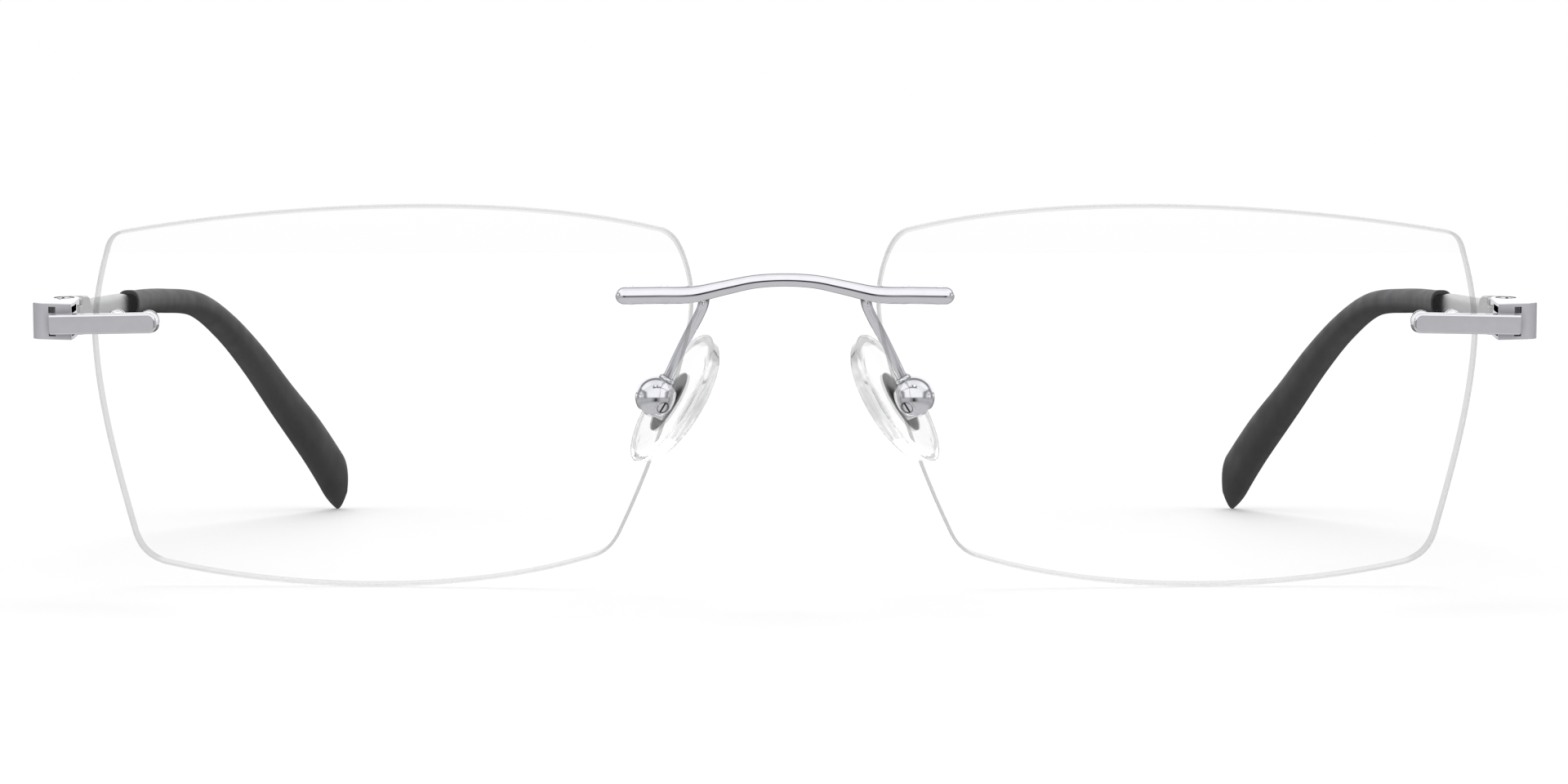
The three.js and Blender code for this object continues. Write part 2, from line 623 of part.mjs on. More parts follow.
const wire = padWire();
const sidePieces = [
  ["lens", lens(), CLEAR],
  ["bridge_bushing", bushing(bridgeSeat, BRIDGE_SEAT.button), CLEAR],
  ["endpiece", endPiece(), METAL],
  ["endpiece_bushing", bushing(endSeat, END_SEAT.button), CLEAR],
  ["hinge_screw", hingeScrew(), METAL],
  ["hinge_leaf", hingeLeaf(), METAL],
  ["temple_arm", templeArm(), METAL],
  ["temple_tip", templeTip(), BLACK],
  ["pad_arm", wire, METAL],
  ["pad_box", padBox(wire), METAL],
  ["pad_screw", padScrew(), METAL],
  ["pad_core", padCore(), METAL],
  ["nose_pad", nosePad(), SILICONE],
];

const glasses = new THREE.Group();
glasses.add(piece("bridge", bridge(), METAL));
for (const [side, mirror] of [["left", 1], ["right", -1]]) {
  const half = new THREE.Group();
  for (const [name, made, finish] of sidePieces) half.add(piece(`${side}_${name}`, made, finish));
  half.scale.x = mirror;
  glasses.add(half);
}
glasses.position.y = -(FRONT_REACH + REAR_REACH) / 2;

const root = new THREE.Group();
root.add(glasses);
export default root;
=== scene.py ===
"""Rimless eyeglasses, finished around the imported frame.

Pieces are modelled in millimetres in the design's own axes: +X is the wearer's left, the lenses face -Y with
their front at y = 0, and z = 0 is the table. finish_piece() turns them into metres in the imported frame.
Everything but the bridge is made once, on the wearer's left, and mirrored.
"""

import json
import math

import bpy
import numpy as np
from mathutils import Matrix, Vector

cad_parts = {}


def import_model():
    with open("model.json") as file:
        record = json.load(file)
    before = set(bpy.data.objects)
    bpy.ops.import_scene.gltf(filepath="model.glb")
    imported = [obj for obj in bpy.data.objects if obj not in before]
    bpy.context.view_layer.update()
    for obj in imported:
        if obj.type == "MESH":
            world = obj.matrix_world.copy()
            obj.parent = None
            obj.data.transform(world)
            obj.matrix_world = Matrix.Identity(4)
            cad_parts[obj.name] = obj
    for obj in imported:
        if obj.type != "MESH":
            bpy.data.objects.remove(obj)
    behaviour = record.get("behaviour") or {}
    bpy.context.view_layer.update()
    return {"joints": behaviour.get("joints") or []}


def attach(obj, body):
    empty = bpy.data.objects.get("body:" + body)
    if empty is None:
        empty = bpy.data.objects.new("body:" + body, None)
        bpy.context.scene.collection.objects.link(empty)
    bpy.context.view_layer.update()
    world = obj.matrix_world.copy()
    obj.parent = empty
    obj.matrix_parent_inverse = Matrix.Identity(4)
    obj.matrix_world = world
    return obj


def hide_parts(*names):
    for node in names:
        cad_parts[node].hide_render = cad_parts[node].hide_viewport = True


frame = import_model()
joints = {j["name"]: j for j in frame["joints"]}

# ---------------------------------------------------------------- sizes, in millimetres
MM = 0.001
HINGE_DEPTH = 9.8  # hinge axis behind the front of the lenses
hinge_at = np.array(joints["left_temple_hinge"]["pos_m"]) / MM
SHIFT_Y = hinge_at[1] - HINGE_DEPTH
HINGE = np.array([hinge_at[0], HINGE_DEPTH, hinge_at[2]])
PAD_PIVOT = np.array(joints["left_pad_rock"]["pos_m"]) / MM - (0, SHIFT_Y, 0)

TILT = math.radians(6)  # pantoscopic angle
WRAP = math.radians(4)  # face form of each lens
GAP = 0.05
POLE = 0.01  # radius of the small flat at the middle of a turned end

LENS_RADIUS = 130
LENS_THICK = 1.6
LENS_X = 37
LENS_Z = 17.85
RIM_BEVEL = 0.3
HOLE_RADIUS = 0.82

STUD_RADIUS = 0.45
STUD_PITCH = 3.2
STUDS = (-STUD_PITCH / 2, STUD_PITCH / 2)
SLEEVE_RADIUS = 0.76
SLEEVE_BORE = 0.52
BUTTON_THICK = 0.6
WEB_HEIGHT = 1.1
BUSHING_STANDOFF = 0.15  # between the lens's back and the heads
BRIDGE_SEAT = (-24.2, 9.52)
BRIDGE_BUTTON = 0.78
END_SEAT = (25.2, 6.6)
END_BUTTON = 1.0

BRIDGE_END_RADIUS = 0.82
BRIDGE_MID_RADIUS = 0.64
BRIDGE_OVER = 0.18
BRIDGE_RISE = 1.42
BAR_INNER = -3.5
BAR_OUTER = 7.4
BAR_HEIGHT = 1.9
BAR_THICK = 1.1
BAR_CORNER = 0.78
BAR_BEVEL = 0.22
BAR_DROOP = math.radians(2.8)  # the bar falls a little towards the temple, on the lens's face

LUG_RADIUS = 1.45
BLOCK_HEIGHT = 3.45
KNUCKLE_HEIGHT = 1.9
SLOT_HEIGHT = 2.06
HINGE_BORE = 0.68
HEAD_BORE = 0.99
SCREW_RADIUS = 0.6
SCREW_HEAD_RADIUS = 0.93
LEAF_HEIGHT = 3.7
LEAF_LENGTH = 6

ARM_FRONT = 1.62
ARM_HEIGHT = 2.35
ARM_THICK = 1.2
CORE_HEIGHT = 1.5
CORE_THICK = 0.9
SLEEVE_START = 0.323
MOUTH_DEPTH = 0.03
MOUTH_HALF_HEIGHT = 1.08
MOUTH_HALF_WIDTH = 1.02
MOUTH_ASIDE = -0.34  # the mouth hugs the arm's outer face and stands off inside
SLEEVE_ASIDE = -0.33
SLEEVE_HALF_HEIGHT = (1.32, 2.95)  # at the mouth and at the tip
SLEEVE_HALF_WIDTH = (1.36, 1.22)
SLEEVE_FLARE = 0.14
SLEEVE_SQUARE = 2.6  # superellipse power of the sleeve's section, where 2 is an ellipse
ARM_SQUARE = 4
CORE_END = 0.94
CORE_ROOM = 0.09
DROP_START = 0.62
BEND_FILL = 0.3  # the sleeve is this much fuller under the ear bend
TIP_ROUNDING = 0.97
TEMPLE_LINE = [
    (69.7, HINGE_DEPTH + ARM_FRONT, 25.4),
    (69.3, 36, 25.6),
    (68.6, 56, 25.85),
    (67.4, 73, 25.87),
    (65.4, 88, 25.15),
    (63.6, 98, 22.75),
    (61.4, 107, 18.8),
    (58.8, 115.5, 13.5),
    (56.2, 123, 8.6),
    (54.2, 129.5, 4.1),
    (53.3, 132, 1.9),
]

PAD_LONG = Vector((-0.523, -0.119, 0.844)).normalized()
PAD_FACING = Vector((-0.88, 0.48, 0))
BALL_RADIUS = 2.0
BALL_RAISE = 0.3
BALL_FACE = 0.95
BALL_TOP = BALL_RAISE + BALL_RADIUS
FORK_FROM = -0.4
FORK_FACE = 1.15
FORK_WIDTH = 2.9
FORK_LENGTH = 2.6
SLOT_FLOOR = -1.05
SLOT_WIDTH = 1.3
SLOT_LOW = -2.6
SLOT_HIGH = 1.15
PAD_REACH = 1.9
PAD_RAISE = 0.75
PAD_SIDE = -0.35
PAD_LENGTH = 14
PAD_WIDTH = 6.5
PAD_FRONT = 2.6
PAD_BACK = 0.45
PLATE_LENGTH = 6.4
PLATE_WIDTH = 2.4
PLATE_THICK = 0.4
PLATE_REACH = PAD_REACH + 0.05
PLATE_RAISE = 0.35
PLATE_SIDE = -0.3
LUG_LENGTH = 1.5
LUG_WIDTH = 1.1
LUG_TAIL = 0.75
LUG_BORE = 0.44
PAD_SCREW_RADIUS = 0.38
PAD_SCREW_HEAD = 0.55
PAD_WIRE_RADIUS = 0.52


# ---------------------------------------------------------------- frames
def shift(x, y, z):
    return Matrix.Translation((x, y, z))


def turn(angle, axis):
    return Matrix.Rotation(angle, 4, axis)


TILT_FRAME = shift(0, 0, LENS_Z) @ turn(TILT, "X")
LENS_FRAME = TILT_FRAME @ shift(LENS_X, 0, 0) @ turn(WRAP, "Z")


def sag(u, w, radius=LENS_RADIUS):
    return radius - np.sqrt(radius**2 - np.square(u) - np.square(w))


def seat_frame(u, w):
    """On the lens's front surface, with X along the surface and Y into the lens."""
    return LENS_FRAME @ shift(u, float(sag(u, w)), w) @ turn(math.asin(u / LENS_RADIUS), "Z")


def basis(x, y, z, at):
    made = Matrix((x, y, z)).transposed().to_4x4()
    made.translation = at
    return made


BRIDGE_FRAME = seat_frame(*BRIDGE_SEAT)
END_FRAME = seat_frame(*END_SEAT)
facing = (PAD_FACING - PAD_LONG * PAD_FACING.dot(PAD_LONG)).normalized()
PAD_FRAME = basis(facing, PAD_LONG.cross(facing), PAD_LONG, Vector(PAD_PIVOT))


# ---------------------------------------------------------------- mesh tools, in millimetres
def moved(points, matrix):
    m = np.array(matrix)
    return np.asarray(points, float) @ m[:3, :3].T + m[:3, 3]


def make(points, faces, matrix=None):
    """A new object from points and faces, with its faces pointing out."""
    mesh = bpy.data.meshes.new("made")
    mesh.from_pydata(np.asarray(points, float).tolist(), [], faces)
    if matrix is not None:
        mesh.transform(matrix)
    made = bpy.data.objects.new("made", mesh)
    bpy.context.scene.collection.objects.link(made)
    if volume(mesh) < 0:
        mesh.flip_normals()
    return made


def volume(mesh):
    mesh.calc_loop_triangles()
    co = np.zeros(len(mesh.vertices) * 3)
    mesh.vertices.foreach_get("co", co)
    tri = np.zeros(len(mesh.loop_triangles) * 3, int)
    mesh.loop_triangles.foreach_get("vertices", tri)
    a, b, c = co.reshape(-1, 3)[tri.reshape(-1, 3)].transpose(1, 0, 2)
    return float(np.einsum("ij,ij->i", a, np.cross(b, c)).sum()) / 6


def loft(rings):
    """Rings of equal length joined into one closed skin. Returns points and faces."""
    n = len(rings[0])
    faces = [
        (k * n + i, k * n + (i + 1) % n, (k + 1) * n + (i + 1) % n, (k + 1) * n + i)
        for k in range(len(rings) - 1)
        for i in range(n)
    ]
    faces.append(tuple(range(n - 1, -1, -1)))
    faces.append(tuple(range((len(rings) - 1) * n, len(rings) * n)))
    return np.concatenate(rings), faces


def prism(outline, low, high, matrix=None):
    """An outline of (x, y) points raised from z = low to high."""
    flat = np.asarray(outline, float)
    rings = [np.column_stack([flat, np.full(len(flat), z)]) for z in (low, high)]
    return make(*loft(rings), matrix)


def turned(profile, matrix=None, sides=48):
    """A body of revolution about Z from [radius, height] pairs; the first and last lie near the axis."""
    angle = np.linspace(0, 2 * math.pi, sides, endpoint=False)
    circle = np.column_stack([np.cos(angle), np.sin(angle)])
    rings = [np.column_stack([circle * r, np.full(sides, h)]) for r, h in profile]
    return make(*loft(rings), matrix)


def rod(radius, y0, y1, matrix=None, x=0):
    """A round rod along Y with softened ends."""
    soft = min(0.08, radius / 3)
    profile = [(POLE, y0), (radius - soft, y0), (radius, y0 + soft)]
    profile += [(radius, y1 - soft), (radius - soft, y1), (POLE, y1)]
    stand = shift(x, 0, 0) @ turn(-math.pi / 2, "X")
    return turned(profile, stand if matrix is None else matrix @ stand)


def block(size, centre, matrix=None):
    x, y, z = (s / 2 for s in size)
    made = prism([(-x, -y), (x, -y), (x, y), (-x, y)], -z, z, shift(*centre))
    if matrix is not None:
        made.data.transform(matrix)
    return made


def bake(made):
    """Applies the object's modifiers to its mesh."""
    graph = bpy.context.evaluated_depsgraph_get()
    mesh = bpy.data.meshes.new_from_object(made.evaluated_get(graph))
    made.modifiers.clear()
    made.data = mesh
    return made


def combine(made, others, operation="UNION"):
    for other in others:
        step = made.modifiers.new("combine", "BOOLEAN")
        step.operation = operation
        step.solver = "MANIFOLD"
        step.object = other
        bake(made)
        bpy.data.objects.remove(other)
    return made


def cut(made, others):
    return combine(made, others, "DIFFERENCE")


def soften(made, width, segments=3, angle=35):
    """Bevels the edges that turn by more than angle degrees."""
    step = made.modifiers.new("soften", "BEVEL")
    step.width = width
    step.segments = segments
    step.limit_method = "ANGLE"
    step.angle_limit = math.radians(angle)
    return bake(made)


LINE_STEPS = 400


def smooth_line(points):
    """A centripetal Catmull-Rom line through points, in even steps."""
    p = np.asarray(points, float)
    p = np.vstack([2 * p[0] - p[1], p, 2 * p[-1] - p[-2]])
    dense = []
    for i in range(1, len(p) - 2):
        p0, p1, p2, p3 = p[i - 1 : i + 3]
        d0, d1, d2 = (math.sqrt(np.linalg.norm(b - a)) for a, b in ((p0, p1), (p1, p2), (p2, p3)))
        t1 = ((p1 - p0) / d0 - (p2 - p0) / (d0 + d1) + (p2 - p1) / d1) * d1
        t2 = ((p2 - p1) / d1 - (p3 - p1) / (d1 + d2) + (p3 - p2) / d2) * d1
        t = np.linspace(0, 1, 60, endpoint=False)[:, None]
        dense.append((2 * t**3 - 3 * t**2 + 1) * p1 + (t**3 - 2 * t**2 + t) * t1
                     + (3 * t**2 - 2 * t**3) * p2 + (t**3 - t**2) * t2)
    dense = np.vstack([*dense, p[-2]])
    run = np.concatenate([[0], np.cumsum(np.linalg.norm(np.diff(dense, axis=0), axis=1))])
    even = np.linspace(0, run[-1], LINE_STEPS + 1)
    return np.column_stack([np.interp(even, run, dense[:, k]) for k in range(3)])


class Line:
    """A smooth line with, at any share t of its length, a place and directions square to it."""

    def __init__(self, points):
        self.places = smooth_line(points)
        self.length = float(np.linalg.norm(np.diff(self.places, axis=0), axis=1).sum())
        self.slopes = np.gradient(self.places, axis=0)
        self.share = np.linspace(0, 1, len(self.places))

    def at(self, t):
        return np.array([np.interp(t, self.share, self.places[:, k]) for k in range(3)])

    def sides(self, t):
        along = np.array([np.interp(t, self.share, self.slopes[:, k]) for k in range(3)])
        along /= np.linalg.norm(along)
        across = np.array([along[1], -along[0], 0])
        across /= np.linalg.norm(across)
        return across, np.cross(across, along)

    def ring(self, t, half, top, bottom, sides, power=2.0, aside=0.0):
        """A superellipse ring about the line at t; half is across, top and bottom are up and down."""
        angle = np.linspace(0, 2 * math.pi, sides, endpoint=False)
        c, s = np.cos(angle), np.sin(angle)
        a = half * np.sign(c) * np.abs(c) ** (2 / power)
        b = np.where(s > 0, top, bottom) * np.sign(s) * np.abs(s) ** (2 / power)
        across, up = self.sides(t)
        return self.at(t) + (a + aside)[:, None] * across + b[:, None] * up


def ease(t, t0, t1):
    k = min(1.0, max(0.0, (t - t0) / (t1 - t0)))
    return k * k * (3 - 2 * k)


def arc(x, y, r, start, end, steps=10):
    """Points of an arc about (x, y), in degrees."""
    angles = np.radians(np.linspace(start, end, steps + 1))
    return [(x + r * math.cos(a), y + r * math.sin(a)) for a in angles]


# ---------------------------------------------------------------- materials
def material(name, **sockets):
    made = bpy.data.materials.new(name)
    made.use_nodes = True
    shader = made.node_tree.nodes["Principled BSDF"]
    for key, value in sockets.items():
        shader.inputs[key.replace("_", " ")].default_value = value
    return made, made.node_tree, shader


def noise(tree, scale, detail=4, stretch=(1, 1, 1)):
    """Fine noise in object space; scale is in cycles a metre."""
    place = tree.nodes.new("ShaderNodeTexCoord")
    mapping = tree.nodes.new("ShaderNodeMapping")
    mapping.inputs["Scale"].default_value = stretch
    grain = tree.nodes.new("ShaderNodeTexNoise")
    grain.inputs["Scale"].default_value = scale
    grain.inputs["Detail"].default_value = detail
    tree.links.new(place.outputs["Object"], mapping.inputs["Vector"])
    tree.links.new(mapping.outputs["Vector"], grain.inputs["Vector"])
    return grain.outputs["Fac"]


NOISE_RANGE = (0.3, 0.7)  # where most of a noise texture's values lie


def mapped(tree, value, from_min, from_max, to_min, to_max):
    node = tree.nodes.new("ShaderNodeMapRange")
    node.inputs["From Min"].default_value = from_min
    node.inputs["From Max"].default_value = from_max
    node.inputs["To Min"].default_value = to_min
    node.inputs["To Max"].default_value = to_max
    tree.links.new(value, node.inputs["Value"])
    return node.outputs["Result"]


def spread(tree, value, low, high):
    """Maps a noise value to low..high."""
    return mapped(tree, value, *NOISE_RANGE, low, high)


def product(tree, one, two):
    node = tree.nodes.new("ShaderNodeMath")
    node.operation = "MULTIPLY"
    tree.links.new(one, node.inputs[0])
    tree.links.new(two, node.inputs[1])
    return node.outputs[0]


def xyz(tree, vector):
    node = tree.nodes.new("ShaderNodeSeparateXYZ")
    tree.links.new(vector, node.inputs["Vector"])
    return node.outputs


def bump(tree, shader, height, distance):
    node = tree.nodes.new("ShaderNodeBump")
    node.inputs["Strength"].default_value = 1.0
    node.inputs["Distance"].default_value = distance
    tree.links.new(height, node.inputs["Height"])
    tree.links.new(node.outputs["Normal"], shader.inputs["Normal"])


def tint(tree, shader, value, dark, light):
    """Lets a noise value vary the base colour from dark to light."""
    ramp = tree.nodes.new("ShaderNodeValToRGB")
    for element, place, colour in zip(ramp.color_ramp.elements, NOISE_RANGE, (dark, light)):
        element.position = place
        element.color = (*colour, 1)
    tree.links.new(value, ramp.inputs["Fac"])
    tree.links.new(ramp.outputs["Color"], shader.inputs["Base Color"])


def grey_ramp(tree, value, stops, target, tone=(1, 1, 1)):
    """Greys along a value that runs from 0 to 1; stops are pairs of a place from -1 to 1 and a grey."""
    ramp = tree.nodes.new("ShaderNodeValToRGB")
    elements = ramp.color_ramp.elements
    elements[0].position, elements[1].position = 0.0, 1.0
    for place, _ in stops[1:-1]:
        elements.new((place + 1) / 2)
    for element, (_, grey) in zip(elements, stops):
        element.color = (grey * tone[0], grey * tone[1], grey * tone[2], 1)
    tree.links.new(value, ramp.inputs["Fac"])
    tree.links.new(ramp.outputs["Color"], target)


# Painted light and shade on the lens rim, by the way the edge faces: light where it faces down, mid greys
# elsewhere.
RIM_PAINTED_GREYS = [(-1, 0.97), (-0.93, 0.95), (-0.75, 0.6), (-0.5, 0.48), (0.3, 0.5), (0.9, 0.58), (1, 0.6)]
NASAL_SHADE_EDGE = (-0.008, -0.003)  # normal x times place x; it is negative on the edges that face the nose
# painted shade, near black, on the rim where it faces the nose
NASAL_PAINTED_SHADE = (0.02, 0.02, 0.02)


# how far the ambient occlusion looks when it paints shade into the hollows of polished metal
HOLLOW_SHADE_REACH = 0.0009  # metres


def paint_hollow_shade(tree, shader, distance):
    """Paints shade into a colour in grooves and corners, where polished metal mirrors only itself: an
    ambient occlusion node darkens it there.
    """
    feed = shader.inputs["Base Color"].links[0]
    painted_shade_node = tree.nodes.new("ShaderNodeAmbientOcclusion")
    painted_shade_node.samples = 8
    painted_shade_node.inputs["Distance"].default_value = distance
    tree.links.new(feed.from_socket, painted_shade_node.inputs["Color"])
    tree.links.new(painted_shade_node.outputs["Color"], shader.inputs["Base Color"])


def polished_metal():
    made, tree, shader = material("polished_metal", Metallic=1.0, Roughness=0.07)
    tint(tree, shader, noise(tree, 900), (0.82, 0.82, 0.85), (0.86, 0.86, 0.885))
    # painted shade: the metal's colour is darkened in its grooves and corners
    paint_hollow_shade(tree, shader, HOLLOW_SHADE_REACH)
    tree.links.new(spread(tree, noise(tree, 2600, 6), 0.06, 0.1), shader.inputs["Roughness"])
    return made


def satin_metal():
    made, tree, shader = material("satin_metal", Metallic=1.0, Roughness=0.3)
    tint(tree, shader, noise(tree, 700), (0.585, 0.585, 0.58), (0.61, 0.61, 0.605))
    brushed = noise(tree, 500, 8, (12, 1, 12))
    tree.links.new(spread(tree, brushed, 0.32, 0.4), shader.inputs["Roughness"])
    bump(tree, shader, brushed, 0.000001)
    return made


def core_metal():
    made, tree, shader = material("core_metal", Metallic=1.0, Roughness=0.3)
    tint(tree, shader, noise(tree, 900), (0.26, 0.26, 0.26), (0.31, 0.31, 0.31))
    return made


def black_sleeve():
    """Matt rubbery plastic with a fine grain."""
    made, tree, shader = material("black_sleeve", Roughness=0.48)
    shader.inputs["Specular IOR Level"].default_value = 0.35
    tint(tree, shader, noise(tree, 1200), (0.008, 0.008, 0.009), (0.011, 0.011, 0.012))
    tree.links.new(spread(tree, noise(tree, 350), 0.42, 0.54), shader.inputs["Roughness"])
    bump(tree, shader, noise(tree, 9000, 3), 0.000006)
    return made


def through_light(tree, shader, clearness):
    """Lets lamp rays pass a clear shader, so that it casts only a light shadow."""
    path = tree.nodes.new("ShaderNodeLightPath")
    open_way = tree.nodes.new("ShaderNodeBsdfTransparent")
    open_way.inputs["Color"].default_value = (clearness, clearness, clearness, 1)
    mix = tree.nodes.new("ShaderNodeMixShader")
    tree.links.new(path.outputs["Is Shadow Ray"], mix.inputs["Fac"])
    tree.links.new(shader.outputs["BSDF"], mix.inputs[1])
    tree.links.new(open_way.outputs["BSDF"], mix.inputs[2])
    tree.links.new(mix.outputs["Shader"], tree.nodes["Material Output"].inputs["Surface"])


def silicone():
    """Clear silicone, a little uneven, that lets some of what is behind it straight through."""
    made, tree, shader = material("silicone", Roughness=0.02, IOR=1.42, Alpha=0.65)
    shader.inputs["Base Color"].default_value = (0.985, 0.99, 0.985, 1)
    shader.inputs["Transmission Weight"].default_value = 1.0
    bump(tree, shader, noise(tree, 420, 3), 0.00003)
    through_light(tree, shader, 0.85)
    return made


def clear_plastic():
    made, tree, shader = material("clear_plastic", Roughness=0.06, IOR=1.5)
    shader.inputs["Base Color"].default_value = (0.96, 0.97, 0.97, 1)
    shader.inputs["Transmission Weight"].default_value = 1.0
    bump(tree, shader, noise(tree, 1500, 3), 0.00001)
    through_light(tree, shader, 0.8)
    return made


COATING_IOR = 1.3


def lens_face():
    """A coated lens surface: what is behind shows through, and the coating mirrors a little.

    A Fresnel node turns its IOR over on a back face, so a back face is given the inverse.
    """
    made = bpy.data.materials.new("lens_face")
    made.use_nodes = True
    tree = made.node_tree
    tree.nodes.remove(tree.nodes["Principled BSDF"])
    see = tree.nodes.new("ShaderNodeBsdfTransparent")
    see.inputs["Color"].default_value = (0.996, 0.997, 0.996, 1)
    mirror = tree.nodes.new("ShaderNodeBsdfGlossy")
    mirror.inputs["Roughness"].default_value = 0.01
    mirror.inputs["Color"].default_value = (0.97, 0.98, 0.98, 1)
    edge_on = tree.nodes.new("ShaderNodeFresnel")
    behind = tree.nodes.new("ShaderNodeNewGeometry").outputs["Backfacing"]
    tree.links.new(mapped(tree, behind, 0, 1, COATING_IOR, 1 / COATING_IOR), edge_on.inputs["IOR"])
    mix = tree.nodes.new("ShaderNodeMixShader")
    tree.links.new(edge_on.outputs["Fac"], mix.inputs["Fac"])
    tree.links.new(see.outputs["BSDF"], mix.inputs[1])
    tree.links.new(mirror.outputs["BSDF"], mix.inputs[2])
    tree.links.new(mix.outputs["Shader"], tree.nodes["Material Output"].inputs["Surface"])
    return made


def lens_rim():
    """The polished edge of a lens, with painted light and shade: its grey runs round the lens with the way
    the edge faces, and is near black where the edge faces the nose.
    """
    made, tree, shader = material("lens_rim", Roughness=0.35, Alpha=0.31)
    normal = xyz(tree, tree.nodes.new("ShaderNodeNewGeometry").outputs["Normal"])
    place = xyz(tree, tree.nodes.new("ShaderNodeTexCoord").outputs["Object"])
    nasal_shade = mapped(tree, product(tree, normal["X"], place["X"]), *NASAL_SHADE_EDGE, 1, 0)
    mix = tree.nodes.new("ShaderNodeMixRGB")
    mix.inputs[2].default_value = (*NASAL_PAINTED_SHADE, 1)
    tree.links.new(nasal_shade, mix.inputs["Fac"])
    # painted light and shade: the rim's grey follows the way its normal faces
    grey_ramp(tree, mapped(tree, normal["Z"], -1, 1, 0, 1), RIM_PAINTED_GREYS, mix.inputs[1])
    tree.links.new(mix.outputs["Color"], shader.inputs["Base Color"])
    return made


POLISHED = polished_metal()
SATIN = satin_metal()
CORE = core_metal()
BLACK = black_sleeve()
SILICONE = silicone()
CLEAR = clear_plastic()
LENS_FACE = lens_face()
LENS_RIM = lens_rim()


# ---------------------------------------------------------------- placing pieces
def weigh_normals(mesh, cone):
    """Turns the shading at every corner towards the largest face there, so flats stay flat beside a bevel.

    Only faces within cone degrees of each other count.
    """
    across, areas = np.empty(len(mesh.polygons) * 3), np.empty(len(mesh.polygons))
    mesh.polygons.foreach_get("normal", across)
    mesh.polygons.foreach_get("area", areas)
    across = across.reshape(-1, 3)
    around = [[] for _ in mesh.vertices]
    for polygon in mesh.polygons:
        for corner in polygon.vertices:
            around[corner].append(polygon.index)
    limit, normals = math.cos(math.radians(cone)), []
    for polygon in mesh.polygons:
        own = across[polygon.index]
        for corner in polygon.vertices:
            near = [f for f in around[corner] if across[f] @ own > limit]
            total = (across[near] * areas[near, None]).sum(axis=0)
            size = np.linalg.norm(total)
            normals.append(tuple(total / size) if size > 0 else tuple(own))
    mesh.normals_split_custom_set(normals)


def finish_piece(made, node, body, slot, *looks, sharp=32, cone=None):
    """Turns a millimetre object into the pieces that replace a CAD node: one each side, or one bridge.

    Edges over sharp degrees stay sharp. With a cone, the shading is weighed as in weigh_normals().
    """
    mesh = made.data
    which = np.zeros(len(mesh.polygons), int)
    mesh.polygons.foreach_get("material_index", which)
    mesh.materials.clear()
    for look in looks:
        mesh.materials.append(look)
    if len(looks) > 1:
        mesh.polygons.foreach_set("material_index", which)
    mesh.polygons.foreach_set("use_smooth", [True] * len(mesh.polygons))
    mesh.set_sharp_from_angle(angle=math.radians(sharp))
    sides = (("", 1),) if node == "bridge" else (("left_", 1), ("right_", -1))
    for side, sign in sides:
        half = mesh.copy()
        half.transform(Matrix.Diagonal((sign * MM, MM, MM, 1)) @ shift(0, SHIFT_Y, 0))
        if sign < 0:
            half.flip_normals()
        if cone:
            weigh_normals(half, cone)
        name = f"{side}{node}"
        half.name = f"fine_{name}"
        piece = bpy.data.objects.new(f"fine_{name}", half)
        bpy.context.scene.collection.objects.link(piece)
        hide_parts(name)
        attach(piece, f"{side}{body}" if body != "front" else "front")
    bpy.data.objects.remove(made)


# ---------------------------------------------------------------- lens
CURVE_STEPS = 24


def bezier(start, curves):
    """Points along joined cubic curves, without the last point."""
    t = np.linspace(0, 1, CURVE_STEPS, endpoint=False)[:, None]
    points, p0 = [], np.array(start, float)
    for curve in curves:
        p1, p2, p3 = np.array(curve, float).reshape(3, 2)
        points.append((1 - t) ** 3 * p0 + 3 * t * (1 - t) ** 2 * p1 + 3 * t**2 * (1 - t) * p2 + t**3 * p3)
        p0 = p3
    return np.vstack(points)


def lens_outline():
    """Seen from the front, +x towards the temple."""
    return bezier(
        (25.4, 15.2),
        [
            (9, 18.3, -11.5, 19.3, -25.2, 15.75),
            (-26.5, 15.4, -27.2, 14.0, -27.7, 12.3),
            (-28.5, 9.7, -28.3, 7.0, -27.3, 3.6),
            (-26.1, -1.4, -24.3, -6.8, -21.6, -12.5),
            (-21.2, -13.4, -20.6, -14.7, -18.9, -15.25),
            (-7, -18.95, 9.5, -18.7, 21.6, -16.55),
            (23.5, -16.2, 24.5, -15.2, 25.0, -13.6),
            (26.6, -7.4, 28.4, -0.6, 28.6, 5.6),
            (28.6, 7.8, 28.0, 11.0, 27.4, 13.0),
            (27.1, 14.4, 26.6, 15.0, 25.4, 15.2),
        ],
    )


def inset(outline, by):
    """Moves a closed outline inwards."""
    along = np.roll(outline, -1, 0) - np.roll(outline, 1, 0)
    along /= np.linalg.norm(along, axis=1)[:, None]
    return outline + by * np.column_stack([-along[:, 1], along[:, 0]])


